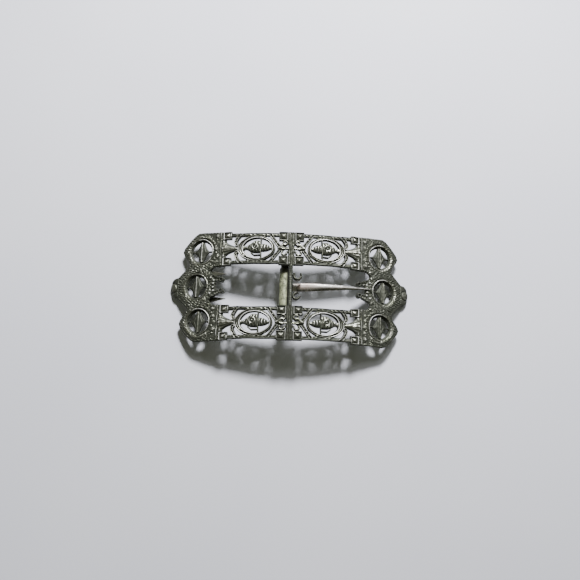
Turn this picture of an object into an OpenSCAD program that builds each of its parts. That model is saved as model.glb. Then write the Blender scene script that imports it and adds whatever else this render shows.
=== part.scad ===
// Belt buckle of cast and pierced silvered metal, bowed along its length, with a hinged tongue.
// X runs along the buckle, Y across it, Z up, and the two end knobs rest on Z = 0.

/* [Casting] */
// Length over the two end knobs
buckle_length = 86; // [85:0.5:88]
// Radius of the plate's front, which is bowed along its length
bow_radius = 95; // [92:1:105]
// Thickness of the cast plate
plate_thickness = 1.2; // [1.1:0.1:1.4]
// Height of the raised lines above the plate
relief = 0.5; // [0.4:0.05:0.6]
// Height of the square bosses above the plate
boss_height = 0.65; // [0.6:0.05:0.8]

/* [Bars] */
// Distance from the middle of the buckle to the middle of each bar
bar_y = 13.5; // [13.4:0.05:13.6]
// Half width of a bar at its rails
rail_y = 5.7; // [5.6:0.05:5.8]
// Width of a rail
rail_width = 1.3; // [1.2:0.05:1.4]
// Distance from the rib to the middle of each oval
oval_x = 12.55; // [12.5:0.05:12.6]
// Half length of an oval
oval_rx = 6.75; // [6.7:0.05:6.8]
// Half width of an oval
oval_ry = 4.85; // [4.75:0.05:4.9]
// Width of an oval's ring at its top and bottom
ring_width = 1.25; // [1.15:0.05:1.3]
// Side of a square boss
boss_side = 3.25; // [3.1:0.05:3.3]

/* [Rib] */
// Width of the middle rib on the bars
rib_width = 1.9; // [1.8:0.05:2]
// Width of the rib where it crosses the opening
rib_neck = 1.3; // [1.2:0.05:1.4]

/* [Ends] */
// Distance from an end knob's tip to the middle of the middle roundel
middle_roundel_in = 9.4; // [9.3:0.1:9.6]
// Distance from an end knob's tip to the middles of the two outer roundels
outer_roundel_in = 10.7; // [10.6:0.1:10.9]
// Distance from the middle of the buckle to the outer roundels, across it
outer_roundel_y = 12.9; // [12.8:0.05:13]
// Radius of a roundel's opening at the back
roundel_bore = 3.55; // [3.4:0.05:3.6]
// Outer radius of a roundel's rim
roundel_rim = 5.0; // [4.9:0.05:5.05]

/* [Tongue] */
// Reach of the tongue's tip beyond the middle of the buckle
tongue_reach = 29.4; // [29:0.1:29.6]
// Width of the tongue at its root
tongue_width = 2.9; // [2.6:0.1:3]
// Thickness of the tongue along its ridge
tongue_thickness = 1.1; // [0.9:0.05:1.15]
// Angle by which the tongue lies askew
tongue_skew = 0.6; // [0:0.1:0.8]

/* [Hinge] */
// Outer diameter of the sleeve
sleeve_d = 3.8; // [3.6:0.05:3.8]
// Length of the sleeve
sleeve_length = 14.4; // [14:0.1:14.4]
// Diameter of the hinge bar
bar_d = 1.6; // [1.4:0.05:1.7]
// Running clearance of the sleeve on the bar, on the radius
sleeve_clearance = 0.05; // [0.03:0.01:0.08]

/* [Hidden] */
$fn = 64;

half_length = buckle_length / 2;
back_radius = bow_radius - plate_thickness;
// The knobs' undersides are cut level where the back of the plate comes down to Z = 0
knob_flat = 0.8;
crown_z = bow_radius - sqrt(pow(back_radius, 2) - pow(half_length - knob_flat, 2));
bow_z = crown_z - bow_radius;
// What stands on the plate or hangs under it starts this deep inside it
root = 0.4;

outer_x = half_length - outer_roundel_in;
middle_x = half_length - middle_roundel_in;
boss_x = rib_width / 2 + boss_side / 2 + 0.3;
boss_v = 4.5;
block_x = boss_x + boss_side / 2;
block_v = boss_v + boss_side / 2;
panel_x = 23.4;
panel_v = 6.4;
panel_boss_side = 2.9;
panel_boss_x = 22.9;
panel_boss_v = 4.85;
ridge_x = 25.3;
bead_x = 26.8;
bead_step = 2.3;
bead_radius = 0.55;
rim_height = 0.6;
// A roundel's opening widens from this far inside the plate to the top of its rim
bevel_depth = 0.5;
bevel_width = 0.65;
curl_x = 24.4;
curl_y = 2.1;
oval_sides = 32;

hinge_x = -2;
hinge_z = crown_z - plate_thickness - 2.8;
lug_thickness = 1.6;
lug_radius = 1.5;
lug_gap = 0.2;
lug_y = sleeve_length / 2 + lug_gap;
seat = 0.02;

function reversed(points) = [for (i = [len(points) - 1:-1:0]) points[i]];

function mirrored(points) = [for (p = points) [p[0], -p[1]]];

module oval(rx, ry) {
    polygon([for (i = [0:oval_sides - 1]) let (a = 360 * (i + 0.5) / oval_sides) [rx * cos(a), ry * sin(a)]]);
}

// A bent strip, w wide, along a row of points
module bent_strip(points, w) {
    last = len(points) - 1;
    edges = [for (side = [w / 2, -w / 2]) [for (i = [0:last])
        let (d = points[min(i + 1, last)] - points[max(i - 1, 0)]) points[i] + side * [-d[1], d[0]] / norm(d)]];
    polygon(concat(edges[0], reversed(edges[1])));
}

// A straight strip, w wide, from point p to point q
module strip(p, q, w) {
    d = q - p;
    n = [-d[1], d[0]] / norm(d) * w / 2;
    polygon([p + n, p - n, q - n, q + n]);
}

module both_sides() {
    children();
    mirror([0, 1]) children();
}

module four_ways() {
    both_sides() {
        children();
        mirror([1, 0]) children();
    }
}

module both_bars() {
    for (up = [-1, 1]) translate([0, up * bar_y]) children();
}

// Extrudes a plan upwards and keeps what lies between two radii of the bow
module bowed(r_in, r_out) {
    intersection() {
        linear_extrude(height = crown_z + 5) children();
        translate([0, 0, bow_z]) rotate([90, 0, 0]) difference() {
            cylinder(r = r_out, h = 60, center = true, $fn = 240);
            cylinder(r = r_in, h = 62, center = true, $fn = 240);
        }
    }
}

// Relief that stands a height above the front of the plate
module raised(height) {
    bowed(bow_radius - root, bow_radius + height) children();
}

// Stands a piece square on the bow's front, at x along the buckle and y across it
module on_bow(x, y) {
    translate([0, y, bow_z]) rotate([0, asin(x / bow_radius), 0]) translate([0, 0, bow_radius]) children();
}

// The ornament in each oval lies along the bar: a ribbed bulb, a collar and an urn that ends in a flared foot
urn = [
    // along, above, below
    [-5.5, 0.40, 0.40], [-5.2, 0.40, 0.40], [-4.4, 1.00, 0.90], [-3.4, 1.50, 1.20], [-2.3, 1.60, 1.30],
    [-1.9, 1.40, 1.20], [-1.45, 2.60, 1.75], [-0.8, 2.85, 1.80], [0.4, 2.85, 1.75], [1.0, 2.40, 1.70],
    [1.9, 1.75, 1.35], [2.6, 1.25, 1.00], [3.3, 0.80, 0.60], [3.8, 0.50, 0.50], [4.3, 0.80, 0.80], [4.8, 1.50, 1.50]
];
collar_x = -1.62;
// A thin dish under the urn, from the collar to the urn's foot
dish = [[collar_x, -2.6], [0.7, -2.65], [2.1, -1.2]];

// An oval's opening lies a little nearer to the rib than the oval
module oval_opening(grow) {
    translate([-0.45, 0]) oval(oval_rx - 1.75 + grow, oval_ry - ring_width + grow);
}

// The urn's outline, drawn in by an inset on both sides
module urn_plan(inset) {
    polygon(concat([for (s = urn) [s[0], s[1] - inset]], reversed([for (s = urn) [s[0], inset - s[2]]])));
}

// The curl between two bosses, one of four on a bar
module block_curl(w) {
    translate([2.45, 1.65]) difference() {
        circle(r = 1.15);
        circle(r = 1.15 - w);
        translate([0.35, -0.1]) square([1.5, 0.9]);
    }
}

// The block round the rib, opened between its bosses but for a stem and the curls
module block_plan() {
    difference() {
        square([2 * block_x, 2 * block_v], center = true);
        four_ways() polygon([[rib_width / 2 + 0.25, 0.4], [2.2, 0.4], [3.4, 1.1], [block_x + 1, 0.4],
            [block_x + 1, 2.7], [rib_width / 2 + 0.25, 2.7]]);
    }
    four_ways() block_curl(0.6);
}

strap_from = [4.05, 0.3];
strap_to = [7.4, 4.9];
// A crescent curls from the rail round the outer end of the oval
crescent = [[17.6, 5.4], [18.4, 5.1], [19.1, 4.25], [19.75, 3.1], [19.95, 2.1], [19.7, 1.4], [19.2, 0.6]];

// Half of a bar's pierced plan, from the rib outwards, about the bar's own middle line
module half_bar_plan() {
    both_sides() {
        translate([block_x - 0.5, rail_y - rail_width]) square([panel_x - block_x + 1, rail_width]);
        strip(strap_from, strap_to, 1.3);
        intersection() {
            bent_strip(crescent, 1.35);
            square([panel_x, rail_y]);
        }
        translate([panel_boss_x, panel_boss_v]) square(panel_boss_side, center = true);
    }
    translate([oval_x, 0]) {
        difference() {
            oval(oval_rx, oval_ry);
            oval_opening(0);
        }
        urn_plan(0);
        strip([collar_x, -oval_ry + 0.5], [collar_x, oval_ry - 0.5], 0.54);
        bent_strip(dish, 0.48);
    }
    strip([oval_x + oval_rx - 0.5, 0], [21, 0], 1.2);
    trumpet_plan(0);
}

// The trumpet opens towards the end plate
module trumpet_plan(inset) {
    mouth_x = panel_x + 0.2;
    side = [[19.3, 0.4 - inset], [20.1, 0.85 - inset], [21, 1.2 - inset], [22.2, 1.7 - inset], [mouth_x, 2.65 - inset]];
    polygon(concat(side, reversed(mirrored(side))));
}

module bar_plan() {
    block_plan();
    half_bar_plan();
    mirror([1, 0]) half_bar_plan();
}

// One end, solid but for its roundels, which are bored afterwards along the bow's own radius
module end_plan() {
    outside = [
        [panel_x, bar_y + panel_v], [outer_x - 2.6, bar_y + panel_v], [outer_x - 1.4, outer_roundel_y + 7.15],
        [outer_x + 1.2, outer_roundel_y + 7.25], [outer_x + 2.5, outer_roundel_y + 6.5],
        [outer_x + 4.4, outer_roundel_y + 4.5], [outer_x + 6.5, outer_roundel_y + 1.8],
        [outer_x + 7.0, outer_roundel_y + 0.4], [outer_x + 6.5, outer_roundel_y - 0.9],
        [outer_x + 4.7, outer_roundel_y - 3.3], [half_length - 6.4, 7.9], [half_length - 2.6, 3.9],
        [half_length - 1.4, 3.6], [half_length - 0.5, 2.9], [half_length, 1.6]
    ];
    inside = [
        [panel_x, bar_y - panel_v], [27.2, bar_y - panel_v], [28.3, 6.2], [28.7, 5.2], [28.1, 4.3],
        [26.8, 3.7], [25.6, 3.2], [24.9, 2.4], [25.6, 1.6], [26.6, 1.3], [26.8, 0.5]
    ];
    polygon(concat(outside, reversed(mirrored(outside)), mirrored(inside), reversed(inside)));
    both_sides() translate([curl_x, curl_y]) difference() {
        circle(r = 0.9);
        circle(r = 0.35);
    }
}

// A lens crosses each roundel from its top to its bottom, with a short arm on each side
module roundel_plan() {
    half = [[2.9, 0], [2.6, 0.4], [2, 1.2], [1.35, 2.2], [0.9, 3.2], [0.7, roundel_bore + 0.4]];
    side = concat(reversed(mirrored(half)), half);
    polygon(concat(side, [for (p = reversed(side)) [-p[0], p[1]]]));
    square([2 * roundel_bore + 0.8, 0.66], center = true);
}

module at_roundels() {
    for (side = [-1, 1]) {
        both_sides() translate([side * outer_x, outer_roundel_y]) children();
        translate([side * middle_x, 0]) children();
    }
}

module roundels() {
    for (side = [-1, 1]) {
        for (up = [-1, 1]) on_bow(side * outer_x, up * outer_roundel_y) children();
        on_bow(side * middle_x, 0) children();
    }
}

// The double rim round a roundel's opening, with a bevel that narrows down to the bore
module roundel_rim_ring() {
    rim_bottom = 0.25 - plate_thickness;
    rim_top = roundel_bore + bevel_width;
    rotate_extrude() polygon([
        [roundel_bore, rim_bottom], [roundel_bore, -bevel_depth], [rim_top, rim_height],
        [rim_top + 0.2, rim_height], [rim_top + 0.4, rim_height * 0.5], [roundel_rim - 0.2, rim_height * 0.9],
        [roundel_rim, rim_height * 0.4], [roundel_rim, -root], [rim_top + 0.3, rim_bottom]
    ]);
}

module pyramid(side, height) {
    intersection() {
        rotate([90, 0, 0]) linear_extrude(height = side, center = true)
            polygon([[-side / 2, 0], [side / 2, 0], [0, height]]);
        rotate([90, 0, 90]) linear_extrude(height = side, center = true)
            polygon([[-side / 2, 0], [side / 2, 0], [0, height]]);
    }
}

// A square boss: a raised border with a pyramid in its sunk middle
module boss(side) {
    border = 0.45;
    sunk = 0.35;
    difference() {
        translate([-side / 2, -side / 2, -root]) cube([side, side, root + boss_height]);
        translate([0, 0, boss_height]) cube([side - 2 * border, side - 2 * border, 2 * sunk], center = true);
    }
    translate([0, 0, boss_height - sunk - 0.1]) pyramid(side - 2 * border - 0.25, 0.85);
}

// Everything that stands up from the front of the bars, in lines
module bar_relief() {
    for (x = [-0.62, 0, 0.62]) translate([x, 0]) square([0.42, 2 * block_v], center = true);
    half_bar_relief();
    mirror([1, 0]) half_bar_relief();
}

module half_bar_relief() {
    both_sides() {
        translate([block_x + 0.1, rail_y - rail_width + 0.3]) square([panel_x - block_x - 2, 0.6]);
        strip(strap_from + [0.3, 0.4], strap_to - [0.5, 0.7], 0.8);
        bent_strip([for (i = [1:4]) crescent[i]], 0.8);
        block_curl(0.45);
    }
    translate([oval_x, 0]) {
        difference() {
            oval(oval_rx - 0.1, oval_ry - 0.1);
            oval(oval_rx - 0.45, oval_ry - 0.45);
        }
        difference() {
            oval_opening(0.6);
            oval_opening(0.25);
        }
        urn_plan(0.25);
        translate([collar_x, 0]) square([0.3, 2 * (oval_ry - 1)], center = true);
    }
    trumpet_plan(0.3);
}

module end_relief() {
    both_sides() {
        translate([ridge_x - 0.2, bar_y - panel_v + 0.3]) square([0.4, 2 * panel_v - 0.6]);
        translate([curl_x, curl_y]) difference() {
            circle(r = 0.75);
            circle(r = 0.5);
        }
    }
}

// The two hooks beside the rib, one on each side of the tongue
module rib_hooks() {
    translate([2.4, 3.5]) {
        difference() {
            circle(r = 1.62);
            circle(r = 0.78);
            translate([-2, 0]) square([4, 2]);
        }
        translate([-1.54, -0.15]) square([0.68, 1.2]);
        translate([0.86, -0.15]) square([0.68, 1.3]);
        translate([-2.2, -0.1]) square([0.9, 0.5]);
    }
    translate([2.15, -3.8]) {
        difference() {
            circle(r = 1.48);
            circle(r = 0.64);
            translate([0.2, 0.1]) square([1.5, 0.9]);
        }
        translate([-2, -0.25]) square([0.8, 0.5]);
    }
}

module lug() {
    translate([hinge_x, 0, hinge_z]) rotate([-90, 0, 0]) difference() {
        union() {
            cylinder(r = lug_radius, h = lug_thickness);
            translate([-lug_radius, hinge_z - crown_z + plate_thickness - root, 0])
                cube([2 * lug_radius, crown_z - plate_thickness + root - hinge_z, lug_thickness]);
        }
        translate([0, 0, -1]) cylinder(r = bar_d / 2 + seat, h = lug_thickness + 2);
    }
}

module frame() {
    color([0.43, 0.43, 0.40]) {
        difference() {
            union() {
                difference() {
                    bowed(back_radius, bow_radius) {
                        both_bars() bar_plan();
                        end_plan();
                        mirror([1, 0]) end_plan();
                        square([rib_neck, 2 * bar_y], center = true);
                        rib_hooks();
                    }
                    roundels() cylinder(r = roundel_bore + bevel_width, h = 8, center = true);
                }
                bowed(back_radius + 0.1, bow_radius - 0.15) at_roundels() roundel_plan();
                raised(relief) {
                    both_bars() bar_relief();
                    end_relief();
                    mirror([1, 0]) end_relief();
                    square([0.8, 2 * (bar_y - block_v) + 1], center = true);
                }
                bowed(bow_radius - root, bow_radius) at_roundels() square([0.7, 2 * roundel_bore - 0.4], center = true);
                roundels() roundel_rim_ring();
                for (side = [-1, 1], bar = [-1, 1], up = [-1, 1]) {
                    on_bow(side * boss_x, bar * bar_y + up * boss_v) boss(boss_side);
                    on_bow(side * panel_boss_x, bar * bar_y + up * panel_boss_v) boss(panel_boss_side);
                }
                for (side = [-1, 1], bar = [-1, 1], i = [-2:2])
                    on_bow(side * bead_x, bar * bar_y + i * bead_step) sphere(r = bead_radius);
                translate([0, lug_y, 0]) lug();
                mirror([0, 1, 0]) translate([0, lug_y, 0]) lug();
            }
            translate([0, 0, -5]) cube([2 * buckle_length, 60, 10], center = true);
        }
    }
}

module hinge_bar() {
    color([0.33, 0.32, 0.31]) translate([hinge_x, 0, hinge_z]) rotate([90, 0, 0])
        cylinder(r = bar_d / 2, h = 2 * (lug_y + lug_thickness), center = true);
}

module hinge_sleeve() {
    shoulder = 0.35;
    bore = bar_d / 2 + sleeve_clearance;
    half = sleeve_length / 2;
    profile = [[bore, 0], [bore, half], [sleeve_d / 2 - shoulder, half], [sleeve_d / 2, half - shoulder],
        [sleeve_d / 2, 0]];
    color([0.66, 0.65, 0.52]) translate([hinge_x, 0, hinge_z]) rotate([90, 0, 0])
        rotate_extrude() polygon(concat(profile, reversed(mirrored(profile))));
}

// The blade from root to tip, as distances along it and half widths
blade = [
    // along, half width
    [0.3, 1.30], [2.5, 1.45], [5.5, 1.45], [8.5, 1.42], [12.5, 1.20], [16, 0.98], [19.5, 0.76], [23, 0.55],
    [25, 0.44], [27, 0.32], [28.3, 0.24], [29.4, 0.12]
];
blade_arch = 1.2;

// Height of the blade's underside: low under the rib, arched over the end plate, and down on the roundel's rim
function blade_low(x) =
    let (t = (x - blade[0][0]) / (tongue_reach - blade[0][0]),
        root_low = hinge_z - 0.36,
        tip_low = bow_z + bow_radius * cos(asin(tongue_reach / bow_radius)) + rim_height + 0.1)
    root_low + (tip_low - root_low) * t + 4 * blade_arch * t * (1 - t);

function blade_section(row) =
    let (x = row[0] * tongue_reach / blade[len(blade) - 1][0],
        w = row[1] * tongue_width / 2.9,
        low = blade_low(x),
        deep = tongue_thickness * (x < 20 ? 1 : 1 - 0.055 * (x - 20)))
    [[x, -w, low], [x, w, low], [x, w, low + deep * 0.45], [x, 0, low + deep], [x, -w, low + deep * 0.45]];

module blade() {
    sections = [for (row = blade) blade_section(row)];
    last = len(sections) - 1;
    sides = len(sections[0]);
    polyhedron(
        points = [for (s = sections) each s],
        faces = concat(
            [[for (j = [0:sides - 1]) j]],
            [for (i = [0:last - 1], j = [0:sides - 1]) let (k = (j + 1) % sides, a = i * sides, b = a + sides)
                each [[a + j, b + j, b + k], [a + j, b + k, a + k]]],
            [[for (j = [sides - 1:-1:0]) last * sides + j]]
        )
    );
}

// The saddle clasps the front of the sleeve
module saddle() {
    wall = 0.65;
    inner = sleeve_d / 2 + seat;
    translate([hinge_x, 0, hinge_z]) rotate([90, 0, 0]) difference() {
        cylinder(r = inner + wall, h = tongue_width - 0.3, center = true);
        cylinder(r = inner, h = tongue_width + 1, center = true);
        linear_extrude(height = tongue_width + 1, center = true)
            polygon([[0, 0], [3 * cos(50), 3 * sin(50)], [0, 4], [-4, 4], [-4, -4], [0, -4],
                [3 * cos(70), -3 * sin(70)]]);
    }
}

module tongue() {
    color([0.62, 0.60, 0.58]) translate([0, 0.15, 0]) rotate([0, 0, tongue_skew]) {
        blade();
        rotate([0, 0, -tongue_skew]) saddle();
    }
}

// A sheet behind one end with two teeth that grip the belt
module prong_plate() {
    sheet = 0.6;
    gap = 0.05;
    tooth = [[-29.4, 5.7], [-28.2, 5.7], [-22.8, 4.55], [-28.2, 3.7]];
    color([0.20, 0.20, 0.18]) bowed(back_radius - gap - sheet, back_radius - gap)
        polygon(concat(tooth, reversed(mirrored(tooth))));
}

frame();
hinge_bar();
hinge_sleeve();
tongue();
prong_plate();
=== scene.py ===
import math
from functools import reduce

import bpy
import numpy as np
from mathutils import Matrix


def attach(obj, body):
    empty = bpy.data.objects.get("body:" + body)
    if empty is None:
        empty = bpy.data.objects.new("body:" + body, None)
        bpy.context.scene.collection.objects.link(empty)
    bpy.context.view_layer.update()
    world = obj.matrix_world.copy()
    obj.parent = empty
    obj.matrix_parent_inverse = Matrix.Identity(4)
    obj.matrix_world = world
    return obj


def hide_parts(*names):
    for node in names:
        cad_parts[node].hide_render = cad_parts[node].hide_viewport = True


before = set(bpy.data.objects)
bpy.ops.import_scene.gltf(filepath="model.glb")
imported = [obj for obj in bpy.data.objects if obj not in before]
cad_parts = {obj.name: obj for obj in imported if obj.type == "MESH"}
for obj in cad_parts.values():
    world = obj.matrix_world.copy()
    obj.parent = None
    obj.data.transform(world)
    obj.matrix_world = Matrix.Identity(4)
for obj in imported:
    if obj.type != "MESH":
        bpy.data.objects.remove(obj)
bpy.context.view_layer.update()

# Belt buckle of pierced cast silver with a hinged tongue.
# Sizes in this file are millimetres, as on the drawing; every mesh is made in metres.
mm = 0.001

# The casting was poured flat and then bent along its length, so everything on it follows one circle.
bow = {"radius": 95.0, "plate": 1.2, "halfLength": 43.0, "knobFlat": 0.8}
bow["back"] = bow["radius"] - bow["plate"]
bow["crown"] = bow["radius"] - math.sqrt(bow["back"] ** 2 - (bow["halfLength"] - bow["knobFlat"]) ** 2)
bow["middle"] = bow["crown"] - bow["radius"]


def onBow(x, y, height):
    # A point of the flat casting goes onto the circle, then moves along the circle's radius by its height.
    # Nothing goes below the table, where the two end knobs are filed level.
    lean = x / bow["radius"]
    z = bow["middle"] + (bow["radius"] + height) * np.sqrt(1 - lean ** 2)
    return np.stack([x * (1 + height / bow["radius"]), y, highest(z, 0)], axis=-1)


def highest(*fields):
    # The largest value at each point; of shapes, all of them together.
    return reduce(np.maximum, fields)


def lowest(*fields):
    # The smallest value at each point; of shapes, what they share.
    return reduce(np.minimum, fields)


def unit(value):
    # Keeps a value between 0 and 1.
    return np.clip(value, 0, 1)


def wave(turns):
    # A cosine with a crest at every whole turn.
    return np.cos(2 * math.pi * turns)


# Distance fields: each gives millimetres, and a shape's field is positive inside it and negative outside.
def fromPoint(x, y, at):
    # Distance to a point, by the root of the squared offsets.
    return np.hypot(x - at[0], y - at[1])


def fromCircle(x, y, circle):
    # Distance to a circle's line, given by its middle and radius.
    return np.abs(fromPoint(x, y, circle) - circle[2])


def segment(x, y, p, q):
    # Distance to the straight line from p to q, and how far along it the nearest point lies.
    dx = q[0] - p[0]
    dy = q[1] - p[1]
    length = math.hypot(dx, dy)
    along = np.clip(((x - p[0]) * dx + (y - p[1]) * dy) / length, 0, length)
    return np.hypot(x - p[0] - along * dx / length, y - p[1] - along * dy / length), along


def polyline(x, y, points):
    # The same for a line of several straight parts, taking the nearest part.
    best = np.full(x.shape, 1e3)
    travel = np.zeros(x.shape)
    start = 0
    for p, q in zip(points[:-1], points[1:]):
        away, along = segment(x, y, p, q)
        travel = np.where(away < best, start + along, travel)
        best = lowest(best, away)
        start += math.dist(p, q)
    return best, travel


def polygon(x, y, points):
    # Distance to the nearest side, with the sign from counting sides crossed by a line going right.
    best = np.full(x.shape, 1e3)
    inside = np.zeros(x.shape, bool)
    for p, q in zip(points, points[1:] + points[:1]):
        best = lowest(best, segment(x, y, p, q)[0])
        if p[1] != q[1]:
            crossing = p[0] + (y - p[1]) * (q[0] - p[0]) / (q[1] - p[1])
            inside ^= ((p[1] > y) != (q[1] > y)) & (x < crossing)
    return np.where(inside, best, -best)


def box(x, y, middle, half):
    # The smaller distance to the sides of a rectangle, given by its middle and half sizes.
    return lowest(half[0] - np.abs(x - middle[0]), half[1] - np.abs(y - middle[1]))


def ellipse(x, y, rx, ry):
    # One minus the scaled radius, divided by its slope, is close to the true distance near the edge.
    scaled = np.hypot(x / rx, y / ry)
    slope = np.hypot(x / rx ** 2, y / ry ** 2)
    return scaled * (1 - scaled) / highest(slope, 1e-9)


# Height profiles, in millimetres above the plate.
def domed(away, half, height):
    # A half-round line: its height times the root of one less the squared share of the half width.
    return height * np.sqrt(unit(1 - (away / half) ** 2))


def roofed(away, half, height):
    # A straight slope from the middle line down to nothing at the half width.
    return height * unit(1 - away / half)


def beads(away, travel, step, radius, height):
    # A row of round grains along a line, one in the middle of each step.
    return domed(np.hypot(away, np.mod(travel, step) - step / 2), radius, height)


def wander(x, y, size, seed):
    # Smooth unevenness between about -1 and 1: eight sine waves in seeded directions, added up.
    rng = np.random.default_rng(seed)
    total = np.zeros(x.shape)
    for turn, phase, stretch in zip(*rng.uniform(0, 2 * math.pi, (2, 8)), rng.uniform(0.7, 1.4, 8)):
        total += np.sin((x * math.cos(turn) + y * math.sin(turn)) * 2 * math.pi / (size * stretch) + phase)
    return total / 3


def blurred(values, reach):
    # Average over a bell curve, along the rows and then along the columns.
    weights = np.exp(-0.5 * (np.arange(-2 * reach, 2 * reach + 1) / reach) ** 2)
    weights /= weights.sum()
    for axis in (0, 1):
        values = sum(w * np.roll(values, k - 2 * reach, axis) for k, w in enumerate(weights))
    return values


bars = {
    "middleY": 13.5, "railMiddle": 5.05, "railHalf": 0.65, "railX": 14.2, "railReach": 10.3, "leafStep": 2.3,
    "ovalX": 12.55, "ovalRx": 6.75, "ovalRy": 4.85, "openX": 12.1, "openRx": 5.0, "openRy": 3.6,
    "strapFrom": (4.05, 0.3), "strapTo": (7.25, 4.7), "strapHalf": 0.66, "strapLine": 0.45,
    "crescent": [(17.6, 5.5), (18.4, 5.1), (19.1, 4.25), (19.75, 3.1), (19.95, 2.1), (19.5, 1.25)],
    "strapBeads": 1.3, "crescentHalf": 0.68, "lineHeight": 0.5, "blockHalf": (4.5, 6.125), "ridgeStep": 0.62,
    "bossAt": (2.875, 4.5), "bossHalf": 1.625, "panelBossAt": (22.9, 4.85), "panelBossHalf": 1.45,
    # a boss: its border's height, width and soft edge, the step down to the square, and the pyramid's slope
    "bossHeight": 0.5, "bossBorder": 0.36, "bossEdge": 0.1, "bossSunk": 0.48, "pyramidSlope": 0.62,
    # along the bar from the oval's middle, reach above it, reach below it
    "urn": [(-5.5, 0.3, 0.3), (-5.2, 0.4, 0.4), (-4.4, 1.0, 0.9), (-3.4, 1.5, 1.2), (-2.3, 1.6, 1.3),
            (-1.9, 1.4, 1.2), (-1.45, 2.6, 1.75), (-0.8, 2.85, 1.8), (0.4, 2.85, 1.75), (1.0, 2.4, 1.7),
            (1.9, 1.75, 1.35), (2.6, 1.25, 1.0), (3.3, 0.8, 0.6), (3.8, 0.5, 0.5), (4.3, 0.8, 0.8),
            (4.8, 1.5, 1.5)],
    "collarX": -1.62, "urnBulb": (-4.9, -1.9), "urnBody": (-1.4, 3.6), "urnEye": (0.4, 0.55),
    "eyeRadius": 1.3,
    # a dish line under the urn
    "dish": [(-1.4, -2.6), (0.7, -2.65), (1.8, -1.75)],
    # the block's curls as middle and radius, leaf and root as lines, the stem as place and half width
    "upperCurl": (2.2, 1.95, 0.72), "lowerCurl": (2.6, -1.6, 0.85),
    "curlLeaf": [(4.6, 0.1), (3.6, 0.7), (2.9, 1.4), (2.2, 1.2)], "curlRoot": [(1.0, -0.9), (1.8, -1.5)],
    "blockCut": [(1.2, 0.4), (2.2, 0.4), (3.4, 1.1), (5.5, 0.4), (5.5, 2.7), (1.2, 2.7)],
    "stem": [(1.0, 0.5), (1.6, 0.9), (2.6, 0.75), (4.9, 0.35)],
    # the trumpet beside the end panel: place along the bar, half width
    "trumpet": [(19.3, 0.4), (20.1, 0.85), (21, 1.2), (22.2, 1.7), (23.5, 2.6), (24.5, 3.1)],
}


def squareBoss(u, w, at, half):
    # A raised border round a sunk square with a low pyramid in it, from the larger of the two offsets.
    reach = highest(np.abs(u - at[0]), np.abs(w - at[1]))
    edge = bars["bossEdge"]
    rising = unit((half - reach) / edge)
    border = bars["bossHeight"] * rising * unit((reach - half + bars["bossBorder"]) / edge)
    inner = half - bars["bossSunk"]
    pyramid = 0.05 + bars["pyramidSlope"] * (inner - np.sqrt(reach ** 2 + 0.03))
    return half - reach, np.where(reach < inner, pyramid, border), reach < half


def railFields(x, u, v, w):
    # Two lines along the edge, the inner one cut into slanting leaves by a sine that runs along the bar.
    rail = box(u, w, (bars["railX"], bars["railMiddle"]), (bars["railReach"], bars["railHalf"]))
    slanted = x / bars["leafStep"] + 0.5 * (w - 5.05) + 0.3 * np.sin(x * 1.3 + v)
    leaves = 0.5 + 0.5 * np.sin(2 * math.pi * slanted)
    relief = highest((0.05 + 0.2 * leaves) * domed(w - 4.95, 0.42, 1), domed(w - 5.52, 0.15, 0.3))
    return rail, relief, rail > -0.1


def strapFields(u, w):
    # A straight strap with a line along each side and a row of grains between them.
    start = bars["strapFrom"]
    stop = bars["strapTo"]
    away, travel = segment(u, w, start, stop)
    turned = (u - start[0]) * (stop[1] - start[1]) - (w - start[1]) * (stop[0] - start[0])
    side = turned / math.dist(start, stop)
    lines = [domed(side + offset, 0.22, 0.58) for offset in (-bars["strapLine"], bars["strapLine"])]
    strap = bars["strapHalf"] - away
    return strap, highest(*lines, beads(side, travel, bars["strapBeads"], 0.26, 0.34)) - 0.18, strap > 0


def ovalFields(oval, opened):
    # Three lines round the cartouche, at set depths inside its outer and its inner edge.
    ring = lowest(oval, -opened)
    lines = highest(domed(oval - 0.27, 0.24, 0.58), domed(opened + 0.36, 0.26, 0.24 + bars["lineHeight"]),
                    domed(oval - 0.95, 0.18, 0.42) * (opened < -0.75))
    return ring, lines - 0.26, ring > 0


def crescentFields(u, w):
    # A bent band beside the oval: a line along its edge, and a middle one hatched by a cosine of the travel.
    away, travel = polyline(u, w, bars["crescent"])
    crescent = lowest(bars["crescentHalf"] - away, 5.65 - w)
    hatched = 0.6 + 0.4 * wave(travel / 1.15)
    relief = highest(domed(away - 0.42, 0.2, 0.62), domed(away, 0.2, 0.45) * hatched) - 0.2
    return crescent, relief, crescent > 0


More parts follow.
